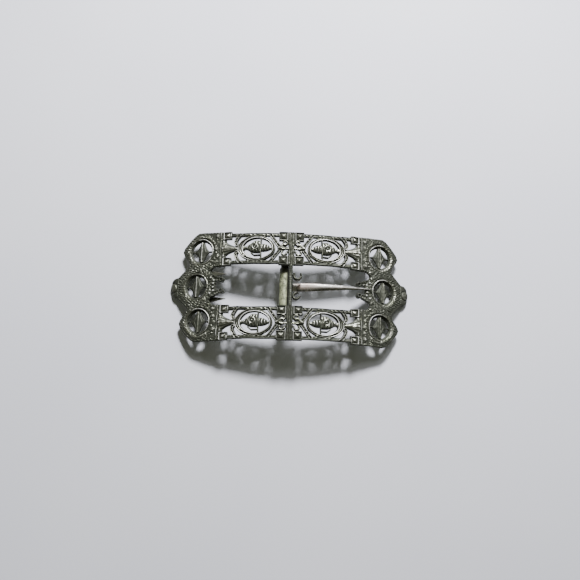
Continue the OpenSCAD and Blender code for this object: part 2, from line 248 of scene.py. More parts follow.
def urnFields(along, v, oval, opened):
    # The outline is looked up along the bar; across it the urn is a half circle, ribbed by cosines.
    # A collar stands behind the urn from edge to edge of the oval, and a thin dish runs under the body.
    place, top, bottom = np.array(bars["urn"]).T
    above = np.interp(along, place, top)
    below = np.interp(along, place, bottom)
    solid = lowest(0.9 * lowest(above - v, v + below), 5.7 - np.abs(along))
    share = np.clip((2 * v + below - above) / (above + below), -1, 1)
    rounding = np.sqrt(1 - share ** 2)
    bent = along + 0.3 * share ** 2
    eye = fromPoint(along, v, bars["urnEye"])
    lobes = np.where(eye < bars["eyeRadius"], wave(eye), wave((bent + 0.2 * share + 1.0) / 1.05))
    bulb, body = ((along > first) & (along < last) for first, last in (bars["urnBulb"], bars["urnBody"]))
    ribs = np.where(body, lobes, np.where(bulb, wave(bent), 0))
    height = 0.1 + (0.2 + 0.08 * (above + below)) * rounding + 0.17 * ribs * rounding
    dish = 0.24 - polyline(along, v, bars["dish"])[0]
    thin = highest(box(along, v, (bars["collarX"], 0), (0.27, 4.0)), dish)
    relief = highest(np.where(solid > 0, height, 0), np.where(thin > 0, domed(0.25 - thin, 0.27, 0.55), 0))
    shape = lowest(highest(solid, thin), oval)
    return shape, relief, (shape > 0) & (opened > -0.05)


def trumpetFields(u, v, w):
    # Its half width is looked up along the bar; the relief is a roof, fluted by a cosine across the bar.
    half = np.interp(u, *zip(*bars["trumpet"]))
    trumpet = lowest((half - w) * 0.8, box(u, v, (22, 0), (2.7, 3.2)))
    flutes = 0.05 * unit(half - 0.9) * np.cos(5.5 * math.pi * v / half)
    relief = highest(roofed(w, half, 1) * (0.14 + 0.2 * half) + flutes, domed(u - 24.15, 0.3, 0.4))
    return trumpet, relief, (trumpet > 0) & (u > bars["trumpet"][0][0])


def blockFields(u, v, w):
    # The block round the rib: bosses at its corners, and between them a domed stem and two curls of domed
    # line that meet the straps.
    block = lowest(box(u, w, (0, 0), bars["blockHalf"]), -polygon(u, w, bars["blockCut"]))
    upper = fromCircle(u, v, bars["upperCurl"])
    lowerX, lowerY = bars["lowerCurl"][:2]
    lower = highest(fromCircle(u, v, bars["lowerCurl"]), 0.9 * (v - lowerY - 0.35 * (u - lowerX)))
    leaf = polyline(u, v, bars["curlLeaf"])[0]
    root = segment(u, v, *bars["curlRoot"])[0]
    curl = highest(0.34 - upper, 0.5 - leaf, 0.36 - lower, 0.34 - root)
    stem = (v - 0.1) / np.interp(u, *zip(*bars["stem"]))
    stemHeight = domed(stem, 1, 0.5) - 0.15 * domed(stem, 0.3, 1) * (u < 3.4)
    relief = highest(domed(upper, 0.36, 0.5), domed(leaf, 0.52, 0.6), domed(lower, 0.4, 0.55), stemHeight)
    bossRelief, onBoss = squareBoss(u, w, bars["bossAt"], bars["bossHalf"])[1:]
    shape = highest(block, curl)
    return shape, np.where(onBoss, bossRelief, relief), shape > 0


def barFields(x, v):
    # Half a bar is drawn from the rib outwards and used four times; urn and curls have an up and a down.
    # Its shapes are joined by the largest field, and each relief covers those before it where it shows.
    u = np.abs(x)
    w = np.abs(v)
    along = u - bars["ovalX"]
    oval = ellipse(along, v, bars["ovalRx"], bars["ovalRy"])
    opened = ellipse(u - bars["openX"], v, bars["openRx"], bars["openRy"])
    neck = box(u, v, (19.9, 0), (1.3, 0.6))
    layers = [
        railFields(x, u, v, w), strapFields(u, w), ovalFields(oval, opened), crescentFields(u, w),
        urnFields(along, v, oval, opened), (neck, 0, False), trumpetFields(u, v, w), blockFields(u, v, w),
        squareBoss(u, w, bars["panelBossAt"], bars["panelBossHalf"]),
    ]
    height = 0
    for _, relief, shown in layers:
        height = np.where(shown, relief, height)
    step = bars["ridgeStep"]
    ridges = domed(np.mod(x + step / 2, step) - step / 2, 0.22, 0.4)
    return highest(*(layer[0] for layer in layers)), np.where((u < 1.0) & (w < 6.2), ridges, height)


ends = {
    "outerRoundel": (32.3, 12.9), "middleRoundel": (33.6, 0.0), "bore": 3.75, "rim": 5.0, "tall": 1.06,
    "narrow": 0.94, "flangeX": 29.4, "ridgeX": 25.3, "beadX": 26.8, "beadStep": 2.3, "curlAt": (24.4, 2.1),
    "twinSpine": 0.37,
    # from a roundel's middle line upwards and downwards: place, half width of the spindle across its opening
    "spindle": [(0, 3.0), (0.4, 2.55), (1.2, 1.9), (2.2, 1.3), (3.2, 0.9), (3.9, 0.7)],
    # radius from a roundel's middle, height: the bevel, and the rim's slope up to its outer edge
    "ring": [(3.70, -0.72), (3.85, -0.66), (4.10, -0.42), (4.26, -0.08), (4.52, 0.04), (4.96, 0.17),
             (5.03, 0.06), (5.1, 0.0)],
    "outside": [(23.4, 19.9), (29.7, 19.9), (30.9, 20.05), (33.5, 20.15), (34.8, 19.4), (36.7, 17.4),
                (38.8, 14.7), (39.3, 13.3), (38.8, 12.0), (37.0, 9.6), (36.6, 7.9), (40.4, 3.9), (41.6, 3.6),
                (42.5, 2.9), (43.0, 1.6)],
    "inside": [(23.4, 7.1), (27.2, 7.1), (28.3, 6.2), (28.7, 5.2), (28.1, 4.3), (26.8, 3.7), (25.6, 3.2),
               (24.9, 2.4), (25.6, 1.6), (26.6, 1.3), (26.8, 0.5)],
    # round grains beside the opening: place and radius
    "grains": [(25.3, 3.0, 0.42), (26.3, 3.35, 0.42), (27.4, 3.9, 0.45), (28.1, 4.9, 0.45),
               (27.9, 6.1, 0.42), (25.9, 1.75, 0.4), (27.2, 1.9, 0.42), (27.3, 0.7, 0.4), (28.3, 2.9, 0.42)],
    "arm": [(24.9, 2.6), (26.5, 3.4), (28.0, 4.8), (28.8, 6.6)],
    # where the tongue's tip has worn a low seat into the right end's grains
    "seatX": (26.3, 28.5), "seatY": 0.43, "seatHalf": 0.5, "seatHeight": 0.08,
}


def spineOffset(x, dx):
    # Distance to a spindle's ridge: one down its middle on the left, two side by side on the right.
    return np.where(x > 0, np.abs(np.abs(dx) - ends["twinSpine"]), np.abs(dx))


def roundelFields(x, y, u, a, at, fresh):
    # Rings by radius on the bent plate, a little taller than wide, with a lip that is plainest towards the
    # buckle's middle and top. A spindle with two arms stands across the opening; its ridge is nearly rubbed
    # away in the lowest ones.
    lean = math.sqrt(1 - (at[0] / bow["radius"]) ** 2)
    dx = (u - at[0]) / lean
    dy = a - at[1]
    radius = np.hypot(dx, dy)
    half = np.interp(np.abs(dy), *zip(*ends["spindle"]))
    spindle = (half - np.abs(dx)) * 0.75
    crossing = highest(spindle, 0.28 - np.abs(dy))
    tall = np.where(x > 0, 0.26, np.where(y < -7, 0.14, 0.32))
    ridges = highest(domed(spineOffset(x, dx), 0.15, tall), domed(np.abs(dx) - 0.5 * half, 0.16, 0.14))
    inside = -0.66 + 0.34 * unit(1 - np.abs(dx) / half) + ridges
    inside = np.where(spindle > 0, inside, -0.6 + domed(dy, 0.34, 0.3))
    around = np.hypot(dx, dy / ends["tall"])
    worn = np.clip(0.5 + 0.6 * (np.sign(y) * dy - dx) / highest(around, 1), 0.1, 1) * fresh
    hollow = domed(around - 4.85, 0.26, 0.26) * unit(0.5 - dx)
    ring = np.interp(around, *zip(*ends["ring"])) + domed(around - 4.4, 0.15, 0.36) * worn - hollow
    return radius, crossing, np.where(radius > ends["bore"], ring, inside)


def strokesRound(dx, dy, reach, step, slant, drift=0):
    # Distance from a middle, and a cosine of the way round it at one reach, slanted by the distance.
    spread = np.hypot(dx, dy)
    return spread, wave(np.arctan2(dy, dx) * reach / step + slant * (spread - reach) + drift)


def endGround(x, y, u, a, mask, grain):
    # Outside the roundels a bevel rises from the edge, under strokes that fan out round each roundel. Nearer
    # the bars lie a ground of grains, leaves round the roundels, and a veined arm beside the opening.
    flange = u > ends["flangeX"]
    pits = 0.05 * wander(x, y, 0.7, 23)
    bevel = -0.22 + 0.4 * unit(mask / 1.5) + domed(mask - 0.4, 0.22, 0.12)
    ground = 0.02 + 0.17 * highest(grain, -0.4) + 1.3 * pits
    height = np.where(flange, bevel + 0.07 * grain + 1.6 * pits, ground)
    drift = 0.45 * wander(x, y, 3.6, 28)
    patchy = 0.6 + 0.5 * wander(x, y, 3.2, 15)
    for at, reach in ((ends["middleRoundel"], 6.4), (ends["outerRoundel"], 5.9)):
        spread, stroke = strokesRound(u - at[0], a - at[1], reach, 1.3, 0.35, drift)
        fan = unit((mask - 0.7) / 0.3) * unit((reach + 1.6 - spread) / 0.5)
        height = height + np.where(flange, 0.075 * stroke * patchy * fan, 0)
    rubbed = unit(0.75 + 0.6 * wander(x, y, 2.6, 24))
    for at, reach, width in ((ends["middleRoundel"], 6.2, 0.9), (ends["outerRoundel"], 5.7, 0.5)):
        dx = (u - at[0]) / ends["narrow"]
        spread, stroke = strokesRound(dx, a - at[1], reach, 1.25, 0.4)
        leaf = (0.55 + 0.3 * stroke) * rubbed * domed(spread - reach, width, 0.4)
        height = highest(height, leaf * (dx < 0.6) * (mask > 0.2))
    arm, travel = polyline(u, a, ends["arm"])
    return highest(height, domed(arm, 0.75, 0.42) * (0.6 + 0.3 * wave(travel / 0.85)))


def panelRelief(x, y, u, v, height):
    # A worn line, and a row of six-petalled flowers with a bead between them; the row strays a little.
    edgeWorn = np.clip(np.where(x > 0, 0.9, 0.6) + 0.4 * wander(x, y, 4.0, 27), 0.15, 1)
    height = highest(height, domed(u - ends["ridgeX"], 0.2, 0.46) * (np.abs(v) < 6.1) * edgeWorn)
    step = ends["beadStep"]
    strayX = u - ends["beadX"] + 0.3 * wander(x, y, 5.0, 18)
    strayV = v + 0.25 * wander(x, y, 5.0, 19)
    across = np.mod(strayV + step / 2, step) - step / 2
    petals = 0.75 + 0.25 * np.cos(6 * np.arctan2(across, strayX))
    flower = 0.64 * unit(1.3 - np.hypot(strayX, across) / 0.72) * petals
    bead = domed(np.hypot(strayX - 0.3, np.mod(strayV, step) - step / 2), 0.32, 0.42)
    worn = np.clip(0.65 + 0.5 * wander(x, y, 4.0, 16), 0.1, 1)
    height = height - 0.1 * ((np.abs(v) < 5.8) & (u > 25.4) & (u < 28.6))
    return highest(height, highest(flower, bead) * worn * (np.abs(v) < 5.6))


def endFields(x, y):
    # One end is drawn from the middle line upwards: a plate with three roundels, smooth bevelled flanges
    # outside them, leaves and grains between them and the opening, and an end knob of three lobes.
    u = np.abs(x)
    a = np.abs(y)
    curl = fromPoint(u, a, ends["curlAt"])
    plate = polygon(u, a, ends["outside"] + [(43.0, -4), (26.8, -4)] + ends["inside"][::-1])
    lobes = highest(1.25 - fromPoint(u, a, (41.8, 0)), 1.15 - fromPoint(u, a, (41.0, 2.5)))
    mask = highest(plate, 0.9 - curl, lobes)
    grain = np.sin(x * 5.4 + 1.4 * np.sin(y * 3.1)) * np.sin(y * 5.0 + 1.2 * np.sin(x * 2.7))
    height = endGround(x, y, u, a, mask, grain)
    height = panelRelief(x, y, u, a - bars["middleY"], height)
    height = highest(height, *(domed(fromPoint(u, a, at), at[2], 0.58) for at in ends["grains"]))
    height = np.where(curl < 0.95, domed(curl - 0.6, 0.34, 0.62), height)
    first, last = ends["seatX"]
    beside = highest(np.abs(y - ends["seatY"]) - ends["seatHalf"], 0)
    beside = beside + highest(first - x, 0) + highest(x - last, 0)
    height = lowest(height, ends["seatHeight"] + 2 * beside)
    knob = highest(domed(fromPoint(u, a, (41.6, 0)), 1.7, 0.42),
                   domed(fromPoint(u, a, (41.0, 2.4)), 1.3, 0.24))
    grooves = domed(np.hypot(u - 42.0, 0.8 * a) - 1.5, 0.3, 0.2) + domed(u - 40.0, 0.2, 0.14) * (a < 3.0)
    height = highest(height, knob) - grooves * (u > 39.6)

    # how fresh each lip is: the left middle one is nearly rubbed away
    fresh = np.where((x < 0) & (a < 6.4), 0.45, 0.95) * np.clip(0.8 + 0.35 * wander(x, y, 2.4, 26), 0, 1.1)
    cast = 0.035 * wander(x, y, 0.9, 25) + 0.03 * grain
    for at in (ends["outerRoundel"], ends["middleRoundel"]):
        radius, crossing, inside = roundelFields(x, y, u, a, at, fresh)
        inside = inside + np.where(radius > 4.0, cast, 0)
        around = np.hypot((u - at[0]) / ends["narrow"], (a - at[1]) / ends["tall"])
        height = np.where(around < ends["rim"], inside, height)
        mask = lowest(highest(mask, ends["rim"] - radius), highest(radius - ends["bore"], crossing))
    return lowest(mask, curl - 0.33), height


rib = {"half": 0.65, "reach": 8.0, "hookHeight": 0.4, "wire": 0.42, "notchStep": 0.8, "notch": 0.16,
       # each hook's middle and radius
       "upperHook": (2.4, 3.5, 1.2), "lowerHook": (2.15, -3.8, 1.06)}


def ribFields(x, y):
    # The rib has a ridge and two notched side lines, and an open ring of wire above and below the tongue.
    neck = lowest(rib["half"] - np.abs(x), rib["reach"] - np.abs(y))
    height = highest(domed(x, 0.3, 0.55), domed(np.abs(x) - 0.46, 0.16, 0.3))
    height *= 1 - 0.25 * (np.mod(y, rib["notchStep"]) < rib["notch"])
    upper = lowest(rib["wire"] - fromCircle(x, y, rib["upperHook"]), rib["upperHook"][1] - y)
    lower = lowest(rib["wire"] - fromCircle(x, y, rib["lowerHook"]), -box(x, y, (3.1, -3.25), (0.75, 0.45)))
    posts = highest(box(x, y, (1.2, 3.95), (0.34, 0.6)), box(x, y, (3.6, 4.0), (0.34, 0.65)))
    feet = highest(box(x, y, (0.75, 3.65), (0.45, 0.25)), box(x, y, (0.55, -3.75), (0.4, 0.25)))
    hooks = highest(upper, lower, posts, feet)
    wire = domed(unit(0.4 - hooks), rib["wire"], rib["hookHeight"])
    return highest(neck, hooks), np.where(neck > 0, height, wire)


casting = {
    "step": 0.1, "halfCount": (436, 207), "edgeRound": 0.22, "backRound": 0.14, "warp": 0.05, "seamX": 24.65,
    "cutX": 25.1, "openingX": 20, "openingY": 6.9, "ribSeamX": 1.05, "ribSeamY": 7.35,
    # nothing of a bar is left beyond this place, inside the roundels
    "barStop": 26.5,
    # cells that the relief is averaged over, height of full relief, and depth inside the outline that the
    # edge darkening reaches
    "cavityReach": 5, "fullRelief": 0.3, "outlineReach": 0.36,
    # how much dirt each place keeps; shaded is painted shadow of the upper bar on the rib's top
    "grime": {"bar": 0.1, "boss": 0.65, "rail": 0.6, "rib": 0.55, "hook": 0.75, "end": 0.6, "panel": 0.65,
              "flange": 1.0, "lobe": 1.35, "rim": 0.4, "well": 1.2, "spine": 0.55, "shaded": 1.4},
}


def grimeField(x, y):
    # Dirt by place, each covering those before it: little on the bars' ornament, most in the wells. One
    # place is painted shadow.
    amount = casting["grime"]
    u = np.abs(x)
    a = np.abs(y)
    w = np.abs(a - bars["middleY"])
    places = [
        ((w > 4.35) & (u > 4.6) & (u < 21.4), amount["rail"]),
        ((w > 2.8) & (u < 4.6), amount["boss"]),
        (u < 1.0, amount["rib"]),
        (a < 7.1, amount["hook"]),
        # painted shadow of the upper bar across the rib's top
        ((u < 0.9) & (y > 4.6) & (y < 7.3), amount["shaded"]),
        ((u > 24.4) | ((a < 7.1) & (u > 20)), amount["end"]),
        (u > ends["flangeX"], amount["flange"] + np.where(x > 0, 0.15 + 0.2 * (y > 4), -0.35)),
        ((w < 6.3) & (u > 24.4) & (u < ends["flangeX"]), amount["panel"] + 0.15 * ((x > 0) & (y > 0))),
        ((u > 40.2) & (a > 1.5), amount["lobe"]),
    ]
    for at in (ends["outerRoundel"], ends["middleRoundel"]):
        radius = np.hypot((u - at[0]) / ends["narrow"], a - at[1])
        onSpine = (radius < 3.8) & (spineOffset(x, u - at[0]) < 0.2)
        places += [(radius < 5.06, amount["rim"]), (radius < 4.4, amount["well"])]
        places.append((onSpine, amount["spine"]))
    grime = np.full(x.shape, amount["bar"])
    for inside, dirt in places:
        grime = np.where(inside, dirt, grime)
    return grime


def inOpening(u, a):
    # The ends' own part of the space between the bars.
    return (a < casting["openingY"]) & (u > casting["openingX"])


def castingFields(x, y):
    # Bars, ends and rib are joined by taking the largest field; where they overlap, the ends' relief wins.
    # The plan is warped a little first, so that no line is quite true.
    wx = x + casting["warp"] * wander(x, y, 5.0, 11)
    wy = y + casting["warp"] * wander(x, y, 5.0, 12)
    u = np.abs(x)
    a = np.abs(y)
    mask, height = barFields(wx, np.where(y > 0, wy - bars["middleY"], wy + bars["middleY"]))
    ribMask, ribHeight = ribFields(wx, wy)
    endMask, endHeight = endFields(wx, wy)
    height = np.where((ribMask > 0) & (a < casting["ribSeamY"]), ribHeight, height)
    height = np.where((u > casting["seamX"]) | inOpening(u, a), endHeight, height)
    mask = highest(mask, ribMask, np.where(u > casting["openingX"], endMask, -1))
    mask = np.where(u > casting["barStop"], lowest(mask, endMask), mask)
    height = height * (1 + 0.06 * wander(x, y, 1.8, 13)) + 0.01 * wander(x, y, 1.2, 14)
    return mask, height


# Corners 0 to 3 of a square run round it, and 4 to 7 are the points where the outline crosses its sides.
squarePieces = [
    [], [0, 4, 7], [1, 5, 4], [0, 1, 5, 7], [2, 6, 5], [0, 4, 7, None, 2, 6, 5], [1, 2, 6, 4],
    [0, 1, 2, 6, 7], [3, 7, 6], [0, 4, 6, 3], [1, 5, 4, None, 3, 7, 6], [0, 1, 5, 6, 3], [2, 3, 7, 5],
    [0, 4, 5, 2, 3], [1, 2, 3, 7, 4], [0, 1, 2, 3],
]


def fanTriangles(piece):
    # Each part of a square, up to a None, is cut into triangles that share its first corner.
    parts = [[]]
    for corner in piece:
        parts.append([]) if corner is None else parts[-1].append(corner)
    return [(p[0], p[k], p[k + 1]) for p in parts for k in range(1, len(p) - 1)]


def cutSheet(xs, ys, mask):
    # Marching squares: whole squares inside the outline, and cut ones along it, so that its edge is smooth.
    # Gives each triangle with the square it came from, a function that carries grid values to the vertices,
    # and the vertices' places and depths inside the outline.
    rows, columns = mask.shape
    solid = mask > 0
    number = np.arange(rows * columns).reshape(rows, columns)
    cornerCount = rows * columns
    acrossCount = rows * (columns - 1)
    across = np.arange(acrossCount).reshape(rows, columns - 1) + cornerCount
    upward = np.arange((rows - 1) * columns).reshape(rows - 1, columns) + cornerCount + acrossCount
    case = (solid[:-1, :-1] + 2 * solid[:-1, 1:] + 4 * solid[1:, 1:] + 8 * solid[1:, :-1])
    local = np.stack([number[:-1, :-1], number[:-1, 1:], number[1:, 1:], number[1:, :-1],
                      across[:-1], upward[:, 1:], across[1:], upward[:, :-1]], axis=-1)
    triangles = []
    squares = []
    for kind, piece in enumerate(squarePieces):
        where = np.nonzero(case == kind)
        for triple in fanTriangles(piece):
            triangles.append(local[where][:, list(triple)])
            squares.append(np.stack(where, axis=-1))
    triangles = np.concatenate(triangles)
    squares = np.concatenate(squares)

    gx, gy = np.meshgrid(xs, ys)
    shareX = np.clip(mask[:, :-1] / (mask[:, :-1] - mask[:, 1:] + 1e-12), 0.06, 0.94)
    shareY = np.clip(mask[:-1] / (mask[:-1] - mask[1:] + 1e-12), 0.06, 0.94)

    def everyVertex(values):
        # The values at the corners, then those mixed along the crossed sides.
        alongX = values[:, :-1] + shareX * (values[:, 1:] - values[:, :-1])
        alongY = values[:-1] + shareY * (values[1:] - values[:-1])
        return np.concatenate([values.ravel(), alongX.ravel(), alongY.ravel()])

    onEdge = np.arange(cornerCount + acrossCount + upward.size) >= cornerCount
    depth = np.where(onEdge, 0, everyVertex(highest(mask, 0)))
    return triangles, squares, everyVertex, {"x": everyVertex(gx), "y": everyVertex(gy), "depth": depth}


def outlineEdges(triangles, count):
    # A side that only one triangle uses is on the outline; it keeps that triangle's direction.
    sides = np.concatenate([triangles[:, [0, 1]], triangles[:, [1, 2]], triangles[:, [2, 0]]])
    forward = sides[:, 0].astype(np.int64) * count + sides[:, 1]
    backward = sides[:, 1].astype(np.int64) * count + sides[:, 0]
    return sides[~np.isin(forward, backward)]


def quarterRound(depth, radius):
    # How far a rounded edge has dropped at a depth inside the outline.
    inner = np.clip(radius - depth, 0, radius)
    return radius - np.sqrt(radius ** 2 - inner ** 2)


def meshFromArrays(name, points, faces, attributes=()):
    # Puts whole arrays into a mesh: points in millimetres, faces as equal rows of corner numbers.
    mesh = bpy.data.meshes.new(name)
    mesh.vertices.add(len(points))
    mesh.vertices.foreach_set("co", (points * mm).astype(np.float32).ravel())
    mesh.loops.add(faces.size)
    mesh.loops.foreach_set("vertex_index", faces.astype(np.int32).ravel())
    mesh.polygons.add(len(faces))
    mesh.polygons.foreach_set("loop_start", np.arange(0, faces.size, faces.shape[1], dtype=np.int32))
    mesh.polygons.foreach_set("use_smooth", np.ones(len(faces), bool))
    mesh.update(calc_edges=True)
    for label, values in attributes:
        mesh.attributes.new(label, "FLOAT", "POINT").data.foreach_set("value", values.astype(np.float32))
    piece = bpy.data.objects.new(name, mesh)
    bpy.context.scene.collection.objects.link(piece)
    return piece


def sheetPiece(name, sheet, triangles, front, back, attributes):
    # A closed plate: the front sheet, the same one turned over at the back, and walls between the outlines.
    # An outline side away from the casting's edge is a seam, and stays sharp.
    used, flat = np.unique(triangles, return_inverse=True)
    flat = flat.reshape(-1, 3)
    count = len(used)
    x = sheet["x"][used]
    y = sheet["y"][used]
    edges = outlineEdges(flat, count)
    near, far = edges.T
    walls = [np.stack([far, near, near + count], -1), np.stack([far, near + count, far + count], -1)]
    faces = np.concatenate([flat, flat[:, ::-1] + count, *walls])
    points = np.concatenate([onBow(x, y, front[used]), onBow(x, y, back[used])])
    values = [(label, np.concatenate([first[used], second[used]])) for label, first, second in attributes]
    piece = meshFromArrays(name, points, faces, values)
    seam = np.zeros(2 * count, bool)
    inner = sheet["depth"][used[edges]].min(axis=1) > 0.02
    seam[edges[inner].ravel()] = True
    seam[edges[inner].ravel() + count] = True
    pairs = np.empty(2 * len(piece.data.edges), np.int32)
    piece.data.edges.foreach_get("vertices", pairs)
    sharp = seam[pairs.reshape(-1, 2)].all(axis=1)
    piece.data.attributes.new("sharp_edge", "BOOLEAN", "EDGE").data.foreach_set("value", sharp)
    return piece


def buildCasting():
    # Worked out whole on one grid, then shared out: four bars, two ends and the rib with the hooks.
    step = casting["step"]
    columns, rows = casting["halfCount"]
    xs = np.arange(-columns, columns + 1) * step
    ys = np.arange(-rows, rows + 1) * step
    gx, gy = np.meshgrid(xs, ys)
    mask, height = castingFields(gx, gy)
    mask[0] = mask[-1] = -1
    mask[:, 0] = mask[:, -1] = -1
    # the relief attribute is the height above the average round about, inside the outline
    inside = unit(mask / 0.2)
    reach = casting["cavityReach"]
    average = blurred(height * inside, reach) / highest(blurred(inside, reach), 0.05)
    triangles, squares, every, sheet = cutSheet(xs, ys, mask)
    depth = sheet["depth"]
    front = every(height) - quarterRound(depth, casting["edgeRound"])
    rough = every(wander(gx, gy, 2.2, 21) + 0.5 * wander(gx, gy, 0.8, 22))
    back = -bow["plate"] + 0.03 * rough + quarterRound(depth, casting["backRound"])
    relief = np.clip(every(height - average) / casting["fullRelief"], -1, 1)
    grime = every(blurred(grimeField(gx, gy), 1))
    # nearness to the outline; the casting's material darkens it as painted shade of the side walls
    edgeNearness = unit(1 - depth / casting["outlineReach"])
    zero = np.zeros(len(depth))
    attributes = [("relief", relief, zero), ("rim", edgeNearness, edgeNearness), ("grime", grime, grime),
                  ("backSide", zero, zero + 1)]
    atX = xs[squares[:, 1]] + step / 2
    atY = ys[squares[:, 0]] + step / 2
    u = np.abs(atX)
    a = np.abs(atY)
    isEnd = (u > casting["cutX"]) | inOpening(u, a)
    isRib = ((u < casting["ribSeamX"]) | (a < casting["ribSeamY"])) & ~isEnd
    sides = {"left": atX < 0, "right": atX > 0}
    levels = {"upper": atY > 0, "lower": atY < 0}
    places = {f"{level}_{side}_bar": ~isEnd & ~isRib & levels[level] & sides[side]
              for level in levels for side in sides}
    places.update({f"{side}_end": isEnd & sides[side] for side in sides})
    places["middle_rib"] = isRib
    pieces = [sheetPiece(name, sheet, triangles[chosen], front, back, attributes)
              for name, chosen in places.items()]
    for piece in pieces:
        print(piece.name, len(piece.data.polygons), "triangles")
    return pieces


def lathe(profile, centre, turns, wobble):
    # A profile of radius and place, carried round a line along Y; the wobble is added to its radius.
    angles = np.linspace(0, 2 * math.pi, turns, endpoint=False)
    radius, place = np.array(profile, float).T
    ring = radius[:, None] + wobble(place[:, None], angles[None, :], radius[:, None])
    return np.stack([centre[0] + ring * np.cos(angles), np.broadcast_to(place[:, None], ring.shape),
                     centre[1] + ring * np.sin(angles)], axis=-1)


def loopFaces(rings, around, closeRings):
    # Squares between neighbouring rings, as pairs of triangles; a closed set joins its last to its first.
    last = rings if closeRings else rings - 1
    i, j = np.meshgrid(np.arange(last), np.arange(around), indexing="ij")
    k = (j + 1) % around
    n = (i + 1) % rings
    a, b, c, d = i * around + j, i * around + k, n * around + k, n * around + j
    return np.concatenate([np.stack([a, b, c], -1).reshape(-1, 3), np.stack([a, c, d], -1).reshape(-1, 3)])


def outwards(points, faces):
    # Turns every face round if the enclosed volume comes out negative.
    p, q, r = (points[faces[:, k]] for k in range(3))
    return faces if np.einsum("ij,ij->i", p, np.cross(q, r)).sum() > 0 else faces[:, ::-1]


def closedLoft(rings):
    # Rings of points joined one to the next, with a middle point closing each end.
    count, around = rings.shape[:2]
    points = np.concatenate([rings.reshape(-1, 3), rings[:1].mean(axis=1), rings[-1:].mean(axis=1)])
    faces = loopFaces(count, around, False)
    j = np.arange(around)
    k = (j + 1) % around
    last = (count - 1) * around
    low = np.stack([k, j, np.full(around, count * around)], -1)
    high = np.stack([last + j, last + k, np.full(around, count * around + 1)], -1)
    faces = np.concatenate([faces, low, high])
    return points, outwards(points, faces)


hinge = {"x": -2.0, "drop": 2.8, "barRadius": 0.8, "barHalf": 9.0, "sleeveRadius": 1.9, "sleeveHalf": 7.2,
         "bore": 0.85, "shoulder": 0.35, "lugRadius": 1.5, "lugFrom": 7.4, "lugThick": 1.6, "lugSoft": 0.15,
         "lugBore": 0.82, "barTurns": 40, "sleeveTurns": 96,
         # the rolled seam: angle, width in radians, depth
         "seam": (3.6, 0.035, 0.07)}
hinge["z"] = bow["crown"] - bow["plate"] - hinge["drop"]


def buildHingeBar():
    # Drawn rod with filed, slightly domed ends.
    r, half = hinge["barRadius"], hinge["barHalf"]
    profile = [(0.02, -half), (0.5 * r, -half + 0.01), (r - 0.12, -half + 0.03), (r - 0.02, -half + 0.12)]
    profile += [(r, p) for p in np.linspace(-half + 0.25, half - 0.25, 40)]
    profile += [(rr, -p) for rr, p in reversed(profile[:4])]
    rings = lathe(profile, (hinge["x"], hinge["z"]), hinge["barTurns"],
                  lambda place, turn, ring: 0.006 * np.sin(place * 3.1 + turn * 2) * (ring > 0.7))
    points, faces = closedLoft(rings)
    return meshFromArrays("hinge_rod", points, faces)


def buildSleeve():
    # Rolled from sheet brass: an outer skin with soft shoulders, a bore, and the seam as a fine groove.
    r, half, bore, soft = hinge["sleeveRadius"], hinge["sleeveHalf"], hinge["bore"], hinge["shoulder"]
    turn = np.linspace(0, math.pi / 2, 7)
    shoulder = [(r - soft + soft * math.sin(t), half - soft + soft * math.cos(t)) for t in turn]
    outer = shoulder + [(r, p) for p in np.linspace(half - soft - 0.2, -half + soft + 0.2, 70)]
    outer += [(q, -p) for q, p in reversed(shoulder)]
    inner = [(bore, p) for p in np.linspace(-half, half, 12)]

    def dents(place, angle, radius):
        at, width, deep = hinge["seam"]
        seam = -deep * np.exp(-((angle - at) / width) ** 2)
        worn = 0.012 * np.sin(place * 1.3 + 2 * angle) + 0.010 * np.sin(place * 3.7 - 3 * angle + 1)
        return np.where(radius > bore + 0.3, seam + worn - 0.022, 0)

    rings = lathe(outer + inner, (hinge["x"], hinge["z"]), hinge["sleeveTurns"], dents)
    points = rings.reshape(-1, 3)
    faces = loopFaces(rings.shape[0], rings.shape[1], True)
    return meshFromArrays("brass_sleeve", points, outwards(points, faces))


def buildLug(side):
    # A cheek with a round lower end, standing in the plate. Each point of its outline has one at the same
    # angle on the bore, and rings of both are joined from face to face.
    r, bore = hinge["lugRadius"], hinge["lugBore"]
    top = hinge["drop"] + 0.35
    lower = [(-r * math.cos(t), -r * math.sin(t)) for t in np.linspace(0, math.pi, 33)]
    upper = [(r, p) for p in np.linspace(0.3, top, 8)]
    upper += [(p, top) for p in np.linspace(r - 0.3, -r + 0.3, 10)]
    outline = np.array(lower + upper + [(-r, p) for p in np.linspace(top, 0.3, 8)])
    angles = np.arctan2(outline[:, 1], outline[:, 0])
    hole = np.stack([bore * np.cos(angles), bore * np.sin(angles)], -1)
    soft = hinge["lugSoft"]
    thick = hinge["lugThick"]
    shrunk = outline * (1 - soft / np.hypot(*outline.T))[:, None]
    levels = [(hole, 0), (shrunk, 0), (outline, soft)]
    levels += [(ring, thick - out) for ring, out in reversed(levels)]
    rings = [np.stack([hinge["x"] + ring[:, 0], np.full(len(ring), side * (hinge["lugFrom"] + out)),
                       hinge["z"] + ring[:, 1]], -1) for ring, out in levels]
    rings = np.array(rings)
    points = rings.reshape(-1, 3)
    faces = loopFaces(len(levels), len(outline), True)
    return meshFromArrays("upper_lug" if side > 0 else "lower_lug", points, outwards(points, faces))


